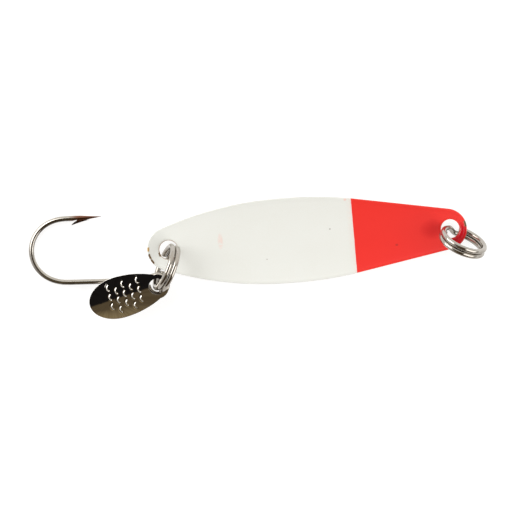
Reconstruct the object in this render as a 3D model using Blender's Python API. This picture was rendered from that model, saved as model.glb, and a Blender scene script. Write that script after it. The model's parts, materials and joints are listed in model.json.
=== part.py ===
"""Spoon lure: a pressed metal blade, two split rings, a single hook and a small spinner blade.

The lure lies on a level surface, painted face up.  The origin is the point where the blade's
belly rests, +X runs along the blade to its head, and +Z is up.  Sizes below are millimetres.
"""
import math

import bmesh
import bpy
from mathutils import Matrix, Vector

MM = 0.001

# ---- blade -------------------------------------------------------------------------------
BLADE_LENGTH = 57.2
BLADE_WIDTH = 15.2
BLADE_THICKNESS = 0.6
BLADE_BEND_RADIUS = 128.0        # lengthwise curve: both ends rise off the surface
BLADE_CUP_RADIUS = 58.0          # crosswise curve
BELLY_HALF_LENGTH = 2.0          # the level land at the belly that the lure rests on
BELLY_HALF_WIDTH = 1.6
TAIL_FLANK_START = -4.2          # the outline is parallel between the two flank starts
TAIL_FLANK_RADIUS = 62.0
HEAD_FLANK_START = -2.5
HEAD_FLANK_RADIUS = 66.0
HEAD_TAPER = math.radians(10.2)  # the flank turns by this much, then runs straight
BLADE_HOLE_RADIUS = 1.68
HEAD_HOLE = (25.67, 0.03)
TAIL_HOLE = (-24.85, -0.16)

# ---- split rings ---------------------------------------------------------------------------
RING_WIRE = 0.94
RING_RADIUS = 3.96               # of the wire's centre line
RING_PITCH = 0.98                # between its two coils
RING_STEP = math.radians(16.0)   # half the arc in which the wire steps over to the other coil
RING_END_GAP = math.radians(5.0)  # from that step to the wire's cut ends
HEAD_RING_CENTRE = (27.70, -2.50, 4.50)
HEAD_RING_HEADING = math.radians(-29.0)
HEAD_RING_TILT = math.radians(112.7)
HEAD_RING_STEP_AT = math.radians(228.0)
TAIL_RING_CENTRE = (-25.42, -3.35, 4.50)
TAIL_RING_HEADING = math.radians(-114.3)
TAIL_RING_TILT = math.radians(77.2)
TAIL_RING_STEP_AT = math.radians(262.0)

# ---- hook ----------------------------------------------------------------------------------
HOOK_WIRE = 0.95
HOOK_EYE_RADIUS = 1.72           # of the wire's centre line
HOOK_EYE_TURN = math.radians(286.0)
HOOK_NECK = 3.4                  # where the shank starts to lean out to the eye
HOOK_SHANK_OFFSET = 0.80         # the shank's line passes the eye's centre by this much
HOOK_HEADING = math.radians(177.4)
HOOK_ON_RING = math.radians(-30.0)
HOOK_OFFSET = (0.04, 0.10)
HOOK_LENGTH = 22.6               # from the eye's centre to the far side of the bend
HOOK_GAP = 11.4                  # between the shank and the point's leg, wire centre to centre
HOOK_BEND_DEPTH = 6.6            # from the end of the straight shank to the far side of the bend
HOOK_BEND_SHARPNESS = 0.92       # 1 is a plain half ellipse, less is fuller at the sides
HOOK_LEG_END = 13.7              # where the leg's full thickness ends, from the eye's centre
HOOK_POINT_END = 9.8
HOOK_POINT_DRIFT = 0.22          # the point leans away from the shank by this much
HOOK_POINT_TAPER = 0.88          # the share of the thickness that is lost at the point
BARB_BACK = 15.3
BARB_RISE = 1.25
BARB_HALF_THICKNESS = 0.17

# ---- spinner blade -------------------------------------------------------------------------
SPINNER_LENGTH = 14.7
SPINNER_HALF_WIDTH = 3.69
SPINNER_THICKNESS = 0.45
SPINNER_HOLE_RADIUS = 1.46
SPINNER_EYE_RADIUS = 2.15        # the rounded small end, about the hole's centre
SPINNER_WIDEST = 7.0             # from the hole's centre
SPINNER_SWELL = 0.85             # less than 1 makes the sides swell out sooner
SPINNER_CUP_RADIUS = 28.0
SPINNER_BEND_SHARE = 0.12        # the lengthwise curve, as a share of the curve across
SPINNER_HEADING = math.radians(191.6)
SPINNER_ON_RING = math.radians(-8.0)
SPINNER_OFFSET = (-0.20, 0.30)

# ---- the hook and the spinner blade hang in parallel, slightly sloping planes ---------------
HANG_SLOPE = math.radians(5.3)

# ---- fineness of the meshes ------------------------------------------------------------------
WIRE_SIDES = 8
BLADE_STATIONS = 24              # from the belly to one end
BLADE_COLUMNS = 10
SPINNER_STATIONS = 24
SPINNER_COLUMNS = 8
HOOK_ARC_STEPS = 22
HOLE_SIDES = 32
TIP_TRIM = 0.01                  # an outline stops this far short of its tip, to keep a real edge


def plain_material(name, colour, roughness, metallic):
    material = bpy.data.materials.new(name)
    material.use_nodes = True
    shader = material.node_tree.nodes["Principled BSDF"]
    shader.inputs["Base Color"].default_value = (*colour, 1.0)
    shader.inputs["Roughness"].default_value = roughness
    shader.inputs["Metallic"].default_value = metallic
    return material


def add_object(name, bm, material, smooth_angle=40.0):
    """Turn a bmesh in millimetres into a named object in metres."""
    bmesh.ops.scale(bm, vec=(MM, MM, MM), verts=bm.verts)
    bmesh.ops.recalc_face_normals(bm, faces=bm.faces)
    mesh = bpy.data.meshes.new(name)
    bm.to_mesh(mesh)
    bm.free()
    mesh.shade_smooth()
    mesh.set_sharp_from_angle(angle=math.radians(smooth_angle))
    mesh.materials.append(material)
    obj = bpy.data.objects.new(name, mesh)
    bpy.context.scene.collection.objects.link(obj)
    return obj


def sweep_wire(path, radii, sides=WIRE_SIDES):
    """A round wire along a path of points, with flat cut ends."""
    bm = bmesh.new()
    count = len(path)
    tangents = [(path[min(i + 1, count - 1)] - path[max(i - 1, 0)]).normalized() for i in range(count)]
    side = tangents[0].orthogonal().normalized()
    rings = []
    for point, tangent, radius in zip(path, tangents, radii):
        side = (side - tangent * side.dot(tangent)).normalized()
        up = tangent.cross(side)
        ring = []
        for k in range(sides):
            angle = 2.0 * math.pi * k / sides
            ring.append(bm.verts.new(point + radius * (math.cos(angle) * side + math.sin(angle) * up)))
        rings.append(ring)
    for lower, upper in zip(rings, rings[1:]):
        for k in range(sides):
            bm.faces.new((lower[k], lower[(k + 1) % sides], upper[(k + 1) % sides], upper[k]))
    bm.faces.new(rings[0])
    bm.faces.new(rings[-1])
    return bm


def pressed_sheet(stations, half_width, height, thickness, columns):
    """A thin sheet: an outline given by its half width, bent to the height of its underside."""
    bm = bmesh.new()
    sections = []
    for x in stations:
        w = half_width(x)
        row = [w * (2.0 * k / columns - 1.0) for k in range(columns + 1)]
        under = [bm.verts.new((x, y, height(x, y))) for y in row]
        over = [bm.verts.new((x, y, height(x, y) + thickness)) for y in reversed(row)]
        sections.append(under + over)
    size = len(sections[0])
    for near, far in zip(sections, sections[1:]):
        for k in range(size):
            bm.faces.new((near[k], near[(k + 1) % size], far[(k + 1) % size], far[k]))
    bm.faces.new(sections[0])
    bm.faces.new(sections[-1])
    return bm


def guide_cylinder(name, radius, centre, depth, sides=HOLE_SIDES):
    """An upright cutter that is left out of the build."""
    bm = bmesh.new()
    bmesh.ops.create_cone(bm, cap_ends=True, segments=sides, radius1=radius, radius2=radius, depth=depth)
    bmesh.ops.translate(bm, vec=centre, verts=bm.verts)
    cutter = add_object(name, bm, CUTTER_MATERIAL)
    cutter.hide_render = True
    cutter.display_type = "WIRE"
    return cutter


def add_boolean(obj, tool, operation):
    modifier = obj.modifiers.new(operation.title(), "BOOLEAN")
    modifier.operation = operation
    modifier.solver = "EXACT"
    modifier.object = tool


def round_stations(start, end, count):
    """Stations that crowd together at both ends, where the outline closes fast."""
    middle = 0.5 * (start + end)
    half = 0.5 * (end - start)
    return [middle - half * math.cos(math.pi * k / (count - 1)) for k in range(count)]


# ---- blade -------------------------------------------------------------------------------

def arc_drop(distance, radius):
    """How far an arc falls below its crown at this distance from it."""
    return radius - math.sqrt(radius ** 2 - distance ** 2)


def half_circle(distance, radius):
    return math.sqrt(max(radius ** 2 - distance ** 2, 0.0))


def tail_end():
    """The radius of the round end that meets the flank's arc without a corner, and where they meet."""
    reach = 0.5 * BLADE_LENGTH + TAIL_FLANK_START
    sunk = TAIL_FLANK_RADIUS - 0.5 * BLADE_WIDTH
    radius = (TAIL_FLANK_RADIUS ** 2 - reach ** 2 - sunk ** 2) / (2.0 * (TAIL_FLANK_RADIUS - reach))
    lean = (reach - radius) / (TAIL_FLANK_RADIUS - radius)
    return radius, radius * (1.0 - lean) - 0.5 * BLADE_LENGTH


def head_end(taper_start, width_there):
    """The same for the round end that meets the straight taper."""
    reach = 0.5 * BLADE_LENGTH - taper_start
    lean = math.sin(HEAD_TAPER)
    radius = (width_there * math.cos(HEAD_TAPER) - reach * lean) / (1.0 - lean)
    return radius, 0.5 * BLADE_LENGTH - radius * (1.0 - lean)


def blade_half_width(x):
    """Parallel middle, a long arc to the round tail, an arc and a straight taper to the round head."""
    width = 0.5 * BLADE_WIDTH
    if x < TAIL_FLANK_START:
        radius, join = tail_end()
        if x < join:
            return half_circle(x + 0.5 * BLADE_LENGTH - radius, radius)
        return width - arc_drop(x - TAIL_FLANK_START, TAIL_FLANK_RADIUS)
    taper_start = HEAD_FLANK_START + HEAD_FLANK_RADIUS * math.sin(HEAD_TAPER)
    if x > HEAD_FLANK_START:
        width -= arc_drop(min(x, taper_start) - HEAD_FLANK_START, HEAD_FLANK_RADIUS)
    if x > taper_start:
        radius, join = head_end(taper_start, width)
        if x > join:
            return half_circle(x - 0.5 * BLADE_LENGTH + radius, radius)
        width -= math.tan(HEAD_TAPER) * (x - taper_start)
    return width


def blade_underside(x, y):
    along = max(abs(x) - BELLY_HALF_LENGTH, 0.0)
    across = max(abs(y) - BELLY_HALF_WIDTH, 0.0)
    return along ** 2 / (2.0 * BLADE_BEND_RADIUS) + across ** 2 / (2.0 * BLADE_CUP_RADIUS)


def make_blade():
    tip = 0.5 * BLADE_LENGTH - TIP_TRIM
    head_part = []
    for k in range(BLADE_STATIONS + 1):
        ratio = math.sin(0.5 * math.pi * k / BLADE_STATIONS)
        head_part.append(BELLY_HALF_LENGTH + (tip - BELLY_HALF_LENGTH) * ratio)
    stations = [-x for x in reversed(head_part)] + head_part
    bm = pressed_sheet(stations, blade_half_width, blade_underside, BLADE_THICKNESS, BLADE_COLUMNS)
    blade = add_object("blade", bm, PAINT_MATERIAL)
    for name, (x, y) in (("head_hole_cutter", HEAD_HOLE), ("tail_hole_cutter", TAIL_HOLE)):
        cutter = guide_cylinder(name, BLADE_HOLE_RADIUS, (x, y, 3.0), 8.0)
        add_boolean(blade, cutter, "DIFFERENCE")
    return blade


# ---- split rings -----------------------------------------------------------------------------

def ring_axes(heading, tilt):
    """The ring's own axes: level, up its slope, and through it."""
    level = Vector((math.cos(heading), math.sin(heading), 0.0))
    sideways = Vector((-math.sin(heading), math.cos(heading), 0.0))
    slope = sideways * math.cos(tilt) + Vector((0.0, 0.0, math.sin(tilt)))
    return level, slope, level.cross(slope)


def split_ring_path(step_at, steps_per_turn=34):
    """Nearly two turns of wire: one coil, a short step sideways, and the other coil."""
    start = step_at + RING_STEP + RING_END_GAP
    end = step_at + 4.0 * math.pi - RING_STEP - RING_END_GAP
    count = int(steps_per_turn * (end - start) / (2.0 * math.pi))
    path = []
    for k in range(count + 1):
        angle = start + (end - start) * k / count
        ratio = (angle - step_at - 2.0 * math.pi) / (2.0 * RING_STEP) + 0.5
        ratio = min(max(ratio, 0.0), 1.0)
        shift = ratio * ratio * (3.0 - 2.0 * ratio) - 0.5
        path.append((angle, RING_PITCH * shift))
    return path


def make_split_ring(name, centre, heading, tilt, step_at, pivot):
    level, slope, through = ring_axes(heading, tilt)
    centre = Vector(centre)
    pivot = Vector(pivot)
    path = []
    for angle, shift in split_ring_path(step_at):
        in_plane = level * math.cos(angle) + slope * math.sin(angle)
        path.append(centre - pivot + RING_RADIUS * in_plane + shift * through)
    bm = sweep_wire(path, [0.5 * RING_WIRE] * len(path))
    ring = add_object(name, bm, RING_MATERIAL)
    ring.location = pivot * MM
    return ring


def point_on_tail_ring(angle):
    level, slope, _ = ring_axes(TAIL_RING_HEADING, TAIL_RING_TILT)
    centre = Vector(TAIL_RING_CENTRE)
    return centre + RING_RADIUS * (level * math.cos(angle) + slope * math.sin(angle))


def hanging_matrix(heading):
    """Local +X points along the piece and slopes down with the common plane, local +Z is its normal."""
    normal = Vector((-math.sin(HANG_SLOPE), 0.0, math.cos(HANG_SLOPE)))
    flat = Vector((math.cos(heading), math.sin(heading), 0.0))
    along = (flat - normal * flat.dot(normal)).normalized()
    across = normal.cross(along)
    return Matrix((along, across, normal)).transposed()


# ---- hook ------------------------------------------------------------------------------------
# In the hook's own plane +X runs from the eye to the bend and the point lies on the -Y side.

def hook_path():
    """The wire's centre line from the cut end of the eye, round the bend, to the point."""
    shank_y = -HOOK_SHANK_OFFSET
    neck_distance = math.hypot(HOOK_NECK, shank_y)
    meets_eye = math.atan2(shank_y, HOOK_NECK) - math.acos(HOOK_EYE_RADIUS / neck_distance)
    points = []
    for k in range(HOOK_ARC_STEPS + 1):
        angle = meets_eye - HOOK_EYE_TURN * (1.0 - k / HOOK_ARC_STEPS)
        points.append((HOOK_EYE_RADIUS * math.cos(angle), HOOK_EYE_RADIUS * math.sin(angle)))
    shank_end = HOOK_LENGTH - HOOK_BEND_DEPTH
    for k in range(5):
        points.append((HOOK_NECK + (shank_end - HOOK_NECK) * k / 5, shank_y))
    for k in range(HOOK_ARC_STEPS + 1):
        angle = math.pi * k / HOOK_ARC_STEPS
        depth = HOOK_BEND_DEPTH * math.sin(angle) ** HOOK_BEND_SHARPNESS
        points.append((shank_end + depth, shank_y - 0.5 * HOOK_GAP * (1.0 - math.cos(angle))))
    leg_y = shank_y - HOOK_GAP
    points.append((HOOK_LEG_END, leg_y))
    for k in range(1, 5):
        ratio = k / 4
        x = HOOK_LEG_END + (HOOK_POINT_END - HOOK_LEG_END) * ratio
        points.append((x, leg_y - HOOK_POINT_DRIFT * ratio))
    return [Vector((x, y, 0.0)) for x, y in points]


def hook_radii(path):
    """Full thickness, then a long taper over the last stretch to the point."""
    radii = []
    for index, point in enumerate(path):
        radius = 0.5 * HOOK_WIRE
        past_leg = HOOK_LEG_END - point.x
        if index > len(path) // 2 and past_leg > 0.0:
            radius *= 1.0 - HOOK_POINT_TAPER * past_leg / (HOOK_LEG_END - HOOK_POINT_END)
        radii.append(radius)
    return radii


def make_hook():
    path = hook_path()
    bm = sweep_wire(path, hook_radii(path))
    hook = add_object("hook", bm, STEEL_MATERIAL)
    barb = make_barb_tool()
    add_boolean(hook, barb, "UNION")
    place = point_on_tail_ring(HOOK_ON_RING) + Vector((*HOOK_OFFSET, 0.0))
    hook.matrix_world = Matrix.Translation(place * MM) @ hanging_matrix(HOOK_HEADING).to_4x4()
    barb.matrix_world = hook.matrix_world
    return hook


def make_barb_tool():
    """A sliver raised from the leg on the side of the shank, its tip pointing back to the bend."""
    leg_y = -HOOK_SHANK_OFFSET - HOOK_GAP
    outline = (
        (BARB_BACK, leg_y + BARB_RISE),
        (BARB_BACK - 0.9, leg_y + 0.20),
        (BARB_BACK - 2.6, leg_y + 0.10),
        (BARB_BACK - 3.0, leg_y + 0.32),
        (BARB_BACK - 1.6, leg_y + 0.66),
    )
    bm = bmesh.new()
    corners = [bm.verts.new((x, y, -BARB_HALF_THICKNESS)) for x, y in outline]
    face = bm.faces.new(corners)
    raised = bmesh.ops.extrude_face_region(bm, geom=[face])
    top = [item for item in raised["geom"] if isinstance(item, bmesh.types.BMVert)]
    bmesh.ops.translate(bm, vec=(0.0, 0.0, 2.0 * BARB_HALF_THICKNESS), verts=top)
    tool = add_object("barb_tool", bm, CUTTER_MATERIAL)
    tool.hide_render = True
    tool.display_type = "WIRE"
    return tool


# ---- spinner blade ---------------------------------------------------------------------------
# In its own plane +X runs from the hole's centre to the broad end.

def spinner_half_width(x):
    """A small round end about the hole, swelling to the widest place, and a blunt oval far end."""
    far_end = SPINNER_LENGTH - SPINNER_EYE_RADIUS
    if x <= 0.0:
        return half_circle(x, SPINNER_EYE_RADIUS)
    if x <= SPINNER_WIDEST:
        swell = math.sin(0.5 * math.pi * (x / SPINNER_WIDEST) ** SPINNER_SWELL)
        return SPINNER_EYE_RADIUS + (SPINNER_HALF_WIDTH - SPINNER_EYE_RADIUS) * swell
    ratio = (x - SPINNER_WIDEST) / (far_end - SPINNER_WIDEST)
    return SPINNER_HALF_WIDTH * math.sqrt(max(1.0 - ratio ** 2, 0.0))


def spinner_underside(x, y):
    """The cup opens downwards, so the seen face is domed."""
    along = max(x - SPINNER_EYE_RADIUS, 0.0)
    drop = (SPINNER_BEND_SHARE * along ** 2 + y ** 2) / (2.0 * SPINNER_CUP_RADIUS)
    return -drop - 0.5 * SPINNER_THICKNESS


def make_spinner():
    far_end = SPINNER_LENGTH - SPINNER_EYE_RADIUS
    stations = round_stations(-SPINNER_EYE_RADIUS + TIP_TRIM, far_end - TIP_TRIM, SPINNER_STATIONS)
    bm = pressed_sheet(stations, spinner_half_width, spinner_underside, SPINNER_THICKNESS, SPINNER_COLUMNS)
    spinner = add_object("spinner_blade", bm, NICKEL_MATERIAL)
    cutter = guide_cylinder("spinner_hole_cutter", SPINNER_HOLE_RADIUS, (0.0, 0.0, 0.0), 4.0)
    add_boolean(spinner, cutter, "DIFFERENCE")
    place = point_on_tail_ring(SPINNER_ON_RING) + Vector((*SPINNER_OFFSET, 0.0))
    spinner.matrix_world = Matrix.Translation(place * MM) @ hanging_matrix(SPINNER_HEADING).to_4x4()
    cutter.matrix_world = spinner.matrix_world
    return spinner


for old in list(bpy.data.objects):
    bpy.data.objects.remove(old, do_unlink=True)

PAINT_MATERIAL = plain_material("blade_paint", (0.83, 0.84, 0.79), 0.35, 0.0)
RING_MATERIAL = plain_material("ring_nickel", (0.72, 0.70, 0.66), 0.18, 1.0)
STEEL_MATERIAL = plain_material("hook_steel", (0.55, 0.54, 0.52), 0.22, 1.0)
NICKEL_MATERIAL = plain_material("spinner_nickel", (0.60, 0.58, 0.52), 0.12, 1.0)
CUTTER_MATERIAL = plain_material("guide", (0.8, 0.2, 0.8), 0.5, 0.0)

make_blade()
head_hole_height = blade_underside(*HEAD_HOLE) + 0.5 * BLADE_THICKNESS
tail_hole_height = blade_underside(*TAIL_HOLE) + 0.5 * BLADE_THICKNESS
make_split_ring("head_split_ring", HEAD_RING_CENTRE, HEAD_RING_HEADING, HEAD_RING_TILT,
                HEAD_RING_STEP_AT, (*HEAD_HOLE, head_hole_height))
make_split_ring("tail_split_ring", TAIL_RING_CENTRE, TAIL_RING_HEADING, TAIL_RING_TILT,
                TAIL_RING_STEP_AT, (*TAIL_HOLE, tail_hole_height))
make_hook()
make_spinner()
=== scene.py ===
# %% [markdown]
# # A spoon lure
# A spoon lure is a strip of brass sheet, cut out, pressed into a shallow dish and dipped in enamel.
# A split ring in each end hole joins it to the line and to a single hook, and a small polished
# blade swings beside the hook and flashes as it turns.
#
# The lure lies on a pale table with its painted side up. The first step loads the plain working
# model, which fixes every size, place and joint. Everything after it is about looks: each piece is
# made again with fine edges and its own finish, in exactly the same place.

# %% Load the working model
import json
import math

import bmesh
import bpy
import numpy as np
from mathutils import Matrix, Vector


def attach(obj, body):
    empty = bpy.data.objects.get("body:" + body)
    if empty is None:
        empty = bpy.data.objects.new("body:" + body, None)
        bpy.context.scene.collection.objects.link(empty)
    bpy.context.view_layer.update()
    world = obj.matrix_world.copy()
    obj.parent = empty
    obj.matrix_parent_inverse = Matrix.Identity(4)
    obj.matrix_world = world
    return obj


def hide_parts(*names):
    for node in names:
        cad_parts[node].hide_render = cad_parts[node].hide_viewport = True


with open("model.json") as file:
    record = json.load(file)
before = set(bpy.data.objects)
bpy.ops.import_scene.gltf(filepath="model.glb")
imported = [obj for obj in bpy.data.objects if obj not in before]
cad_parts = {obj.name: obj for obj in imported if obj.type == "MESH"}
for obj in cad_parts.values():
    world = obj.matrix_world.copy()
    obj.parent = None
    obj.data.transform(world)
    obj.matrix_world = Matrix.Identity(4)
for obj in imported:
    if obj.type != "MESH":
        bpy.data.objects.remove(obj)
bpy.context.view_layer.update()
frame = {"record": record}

# %% [markdown]
# ## Units and shared places
# Blender works in metres, but a lure is easier to think about in millimetres. All shapes below are
# built in millimetres and scaled once, when a mesh is made. The places of the holes and of the two
# swinging pieces are read from the working model's joints, so nothing can drift away from it.

# %% Units and places
MM = 0.001
JOINTS = {joint["name"]: joint for joint in frame["record"]["behaviour"]["joints"]}


def joint_place(name):
    """The point a joint turns about, in millimetres."""
    return Vector(JOINTS[name]["pos_m"]) / MM


HEAD_HOLE = joint_place("head_ring_swing")
TAIL_HOLE = joint_place("tail_ring_swing")
print("head hole at", [round(v, 2) for v in HEAD_HOLE])
print("tail hole at", [round(v, 2) for v in TAIL_HOLE])

# %% [markdown]
# ## From points to a mesh
# A mesh is a list of points and a list of faces that name them. The first helper turns such lists
# into an object, and is the one place where millimetres become metres. The second merges points
# that share a place and turns every face outwards, so that light meets the right side. The third
# does the same for a flat sheet, which has no inside: its first side looks up.

# %% Mesh from points
def new_object(name, verts, faces):
    """A mesh object from points in millimetres."""
    mesh = bpy.data.meshes.new(name)
    mesh.from_pydata([tuple(Vector(v) * MM) for v in verts], [], faces)
    mesh.validate()
    obj = bpy.data.objects.new(name, mesh)
    bpy.context.scene.collection.objects.link(obj)
    return obj


def face_outwards(mesh):
    bm = bmesh.new()
    bm.from_mesh(mesh)
    bmesh.ops.remove_doubles(bm, verts=bm.verts, dist=1e-7)
    bmesh.ops.recalc_face_normals(bm, faces=bm.faces)
    bm.to_mesh(mesh)
    bm.free()


def face_up(mesh):
    """All faces agree, and the first side of the sheet looks up."""
    bm = bmesh.new()
    bm.from_mesh(mesh)
    bmesh.ops.recalc_face_normals(bm, faces=bm.faces)
    if sum(face.normal.z for face in bm.faces) < 0.0:
        bmesh.ops.reverse_faces(bm, faces=bm.faces)
    bm.to_mesh(mesh)
    bm.free()


# %% [markdown]
# ## The last steps of every piece
# A finished piece has its object at the origin and its place in its mesh. `finish_piece` does the
# last steps for all of them: it turns live modifiers into a plain mesh, puts the mesh in place,
# shades it smooth with crisp edges, and ties it to the body that it moves with.

# %% Finish a piece
def bake_modifiers(obj):
    """The evaluated shape becomes the object's own plain mesh."""
    depsgraph = bpy.context.evaluated_depsgraph_get()
    plain = bpy.data.meshes.new_from_object(obj.evaluated_get(depsgraph))
    obj.modifiers.clear()
    obj.data = plain


def finish_piece(obj, body, node, material, place=None, sharp_angle=42.0):
    bake_modifiers(obj)
    mesh = obj.data
    if place is not None:
        mesh.transform(place)
    face_outwards(mesh)
    mesh.shade_smooth()
    mesh.set_sharp_from_angle(angle=math.radians(sharp_angle))
    mesh.materials.clear()
    mesh.materials.append(material)
    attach(obj, body)
    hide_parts(node)
    print(f"{obj.name}: {len(mesh.polygons)} faces, rides on {body}")


# %% [markdown]
# ## Links and plain values
# Materials, the surroundings and Geometry Nodes are all trees of nodes. An input of a node takes
# either a link from another node or a plain value. `connect` takes whichever it is given, so the
# rest of the lesson needn't ask.

# %% Links and values
def connect(tree, slot_input, value):
    """Links a socket to an input, or sets the input to a plain value."""
    if isinstance(value, Socket):
        tree.links.new(value.output, slot_input)
    elif slot_input.type == "RGBA" and len(value) == 3:
        slot_input.default_value = (*value, 1.0)
    else:
        slot_input.default_value = value


def maths_node(tree, operation, *values, clamp=False):
    made = tree.nodes.new("ShaderNodeMath")
    made.operation = operation
    made.use_clamp = clamp
    for slot_input, value in zip(made.inputs, values):
        connect(tree, slot_input, value)
    return Socket(tree, made.outputs[0])


def calls(kind):
    return [name.strip("_") for name, value in vars(kind).items() if callable(value)]


print("two kinds of value: a link, or a number or colour")

# %% [markdown]
# ## Node maths as plain expressions
# A long tree of Math nodes is hard to read as code. This class wraps a node's output, so that
# `mask * 0.5 + 1 - noise` adds the Math nodes by itself. `above` and `clamped` are the two other
# steps that masks need all the time.

# %% Sockets
class Socket:
    """A node output that takes part in sums."""

    def __init__(self, tree, output):
        self.tree = tree
        self.output = output

    def maths(self, operation, *others, clamp=False):
        return maths_node(self.tree, operation, self, *others, clamp=clamp)

    def __add__(self, other):
        return self.maths("ADD", other)

    def __sub__(self, other):
        return self.maths("SUBTRACT", other)

    def __rsub__(self, other):
        return maths_node(self.tree, "SUBTRACT", other, self)

    def __mul__(self, other):
        return self.maths("MULTIPLY", other)

    def __truediv__(self, other):
        return self.maths("DIVIDE", other)

    def __neg__(self):
        return self.maths("MULTIPLY", -1.0)

    __radd__ = __add__
    __rmul__ = __mul__

    def clamped(self):
        return self.maths("ADD", 0.0, clamp=True)

    def above(self, edge, softness):
        """0 below the edge, 1 above it, with a soft step between."""
        return (self - (edge - softness)).maths("DIVIDE", 2.0 * softness, clamp=True)


print("a socket knows:", calls(Socket))

# %% [markdown]
# ## One call for every other node
# `node` makes a node of any kind: first its type, then its settings, then the values or links of
# its inputs. The short calls below it are the ones that this lesson uses again and again. Colours
# are blended with `mix`, and noise is asked for by the size of its blobs in millimetres.

# %% Trees
class Tree:
    """A node tree with one short call for each thing that is added to it."""

    def __init__(self, tree):
        self.tree = tree

    def node(self, kind, output=0, settings=None, **inputs):
        made = self.tree.nodes.new(kind)
        for key, value in (settings or {}).items():
            setattr(made, key, value)
        for key, value in inputs.items():
            connect(self.tree, made.inputs[key.replace("_", " ")], value)
        return Socket(self.tree, made.outputs[output])

    def parts(self, vector):
        """The three numbers of a vector."""
        first = self.node("ShaderNodeSeparateXYZ", Vector=vector)
        return [Socket(self.tree, output) for output in first.output.node.outputs]

    def joined(self, x=0.0, y=0.0, z=0.0):
        return self.node("ShaderNodeCombineXYZ", X=x, Y=y, Z=z)

    def mix(self, factor, low, high):
        """A colour between two colours."""
        return self.node("ShaderNodeMix", output="Result", settings={"data_type": "RGBA"},
                         Factor=factor, A=low, B=high)

    def texture(self, vector, detail, roughness=0.5, scale=1.0):
        return self.node("ShaderNodeTexNoise", Vector=vector, Scale=scale,
                         Detail=detail, Roughness=roughness)

    def noise(self, vector, size_mm, detail=3.0, roughness=0.55):
        """Cloudy noise from 0 to 1 whose blobs are about this size."""
        return self.texture(vector, detail, roughness, scale=1.0 / (size_mm * MM))


print("a tree knows:", calls(Tree))

# %% [markdown]
# ## A material
# Every material starts from Blender's Principled shader. A value that is the same all over is set
# on the shader itself. A value that varies is worked out by nodes and fed in. `place` gives the
# point's place on the object, which stays with the piece when it turns, and `attribute` reads a
# number that was stored on the mesh.

# %% Finishes
class Finish(Tree):
    """A new material: its Principled shader, and what feeds it."""

    def __init__(self, name, **fixed):
        self.material = bpy.data.materials.new(name)
        self.material.use_nodes = True
        super().__init__(self.material.node_tree)
        self.shader = self.tree.nodes["Principled BSDF"]
        self.feed(**fixed)

    def feed(self, **inputs):
        for key, value in inputs.items():
            connect(self.tree, self.shader.inputs[key.replace("_", " ")], value)

    def place(self):
        return self.node("ShaderNodeTexCoord", output="Object")

    def attribute(self, name):
        return self.node("ShaderNodeAttribute", output="Fac", settings={"attribute_name": name})

    def bump(self, height, distance_mm, strength=1.0):
        return self.node("ShaderNodeBump", Height=height, Distance=distance_mm * MM,
                         Strength=strength)

    def spot(self, x, y, centre, size_x, size_y):
        """1 in the middle of a soft oval spot, 0 outside it. Sizes in millimetres."""
        dx = (x - centre[0] * MM) / (size_x * MM)
        dy = (y - centre[1] * MM) / (size_y * MM)
        return (1.0 - (dx * dx + dy * dy)).clamped()


print("a finish adds:", calls(Finish))

# %% [markdown]
# ## The camera
# The lure is seen from straight above. A long lens far away keeps its proportions true: a short
# one would make the rings, which stand highest, look too big. The view's width is given where the
# sheet lies, and the camera's distance follows from the lens.

# %% Camera
VIEW_CENTRE = (-9.08, -2.66)
VIEW_WIDTH = 92.08
VIEW_TURN = math.radians(-4.1)
VIEW_HEIGHT = 2.5                # the level at which the width is measured
VIEW_LENS = 600.0
SENSOR_WIDTH = 36.0
CAMERA_DISTANCE = VIEW_WIDTH * VIEW_LENS / SENSOR_WIDTH

camera_data = bpy.data.cameras.new("camera")
camera_data.lens = VIEW_LENS
camera_data.sensor_width = SENSOR_WIDTH
camera_data.clip_start = 0.01
camera_data.clip_end = 20.0
camera = bpy.data.objects.new("camera", camera_data)
camera.location = Vector((*VIEW_CENTRE, VIEW_HEIGHT + CAMERA_DISTANCE)) * MM
camera.rotation_euler = (0.0, 0.0, VIEW_TURN)
bpy.context.scene.collection.objects.link(camera)
bpy.context.scene.camera = camera
bpy.context.scene.view_settings.view_transform = "Standard"
print(f"camera {CAMERA_DISTANCE:.0f} mm above the table")

# %% [markdown]
# ## The table
# The table is plain white and evenly lit, as on a light box. It gives off part of its light
# itself, so the lure casts almost no shadow on it. It lies a hair under the lure, because two
# faces in exactly the same place would flicker.

# %% Table
TABLE_HALF = 3000.0
TABLE_LEVEL = -0.03
TABLE_GREY = (0.36, 0.36, 0.36)
TABLE_GLOW = 0.77

corners = [(x * TABLE_HALF, y * TABLE_HALF, TABLE_LEVEL) for x, y in ((-1, -1), (1, -1), (1, 1), (-1, 1))]
table = new_object("table", corners, [(0, 1, 2, 3)])
table_finish = Finish("table_white", Base_Color=TABLE_GREY, Roughness=0.9, Specular_IOR_Level=0.0,
                      Emission_Color=(1.0, 1.0, 1.0), Emission_Strength=TABLE_GLOW)
table.data.materials.append(table_finish.material)
print("table", 2 * TABLE_HALF * MM, "m wide")

# %% [markdown]
# ## What the metal sees
# Polished metal has no colour of its own: it shows what is around it. So the surroundings matter
# more than the lamps. Right above the lure it is dark, black on one side of a line and olive brown
# on the other, which gives the small blade its two flat tones. `lean` says how far a direction is
# to the black side.

# %% Overhead
BLACK_OVERHEAD = (0.011, 0.010, 0.010)
OLIVE_OVERHEAD = (0.120, 0.090, 0.052)
PALE_OLIVE = (0.46, 0.36, 0.20)
LEAN_NORTH = 0.858               # the way in which the line between the tones is crossed
LEAN_EAST = -0.514
LEAN_EDGE = 0.109
LEAN_SOFTNESS = 0.006
CORNER = (-0.34, -0.30)          # east and north of the place where the olive is paler
CORNER_HALF = (0.22, 0.20)

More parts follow.
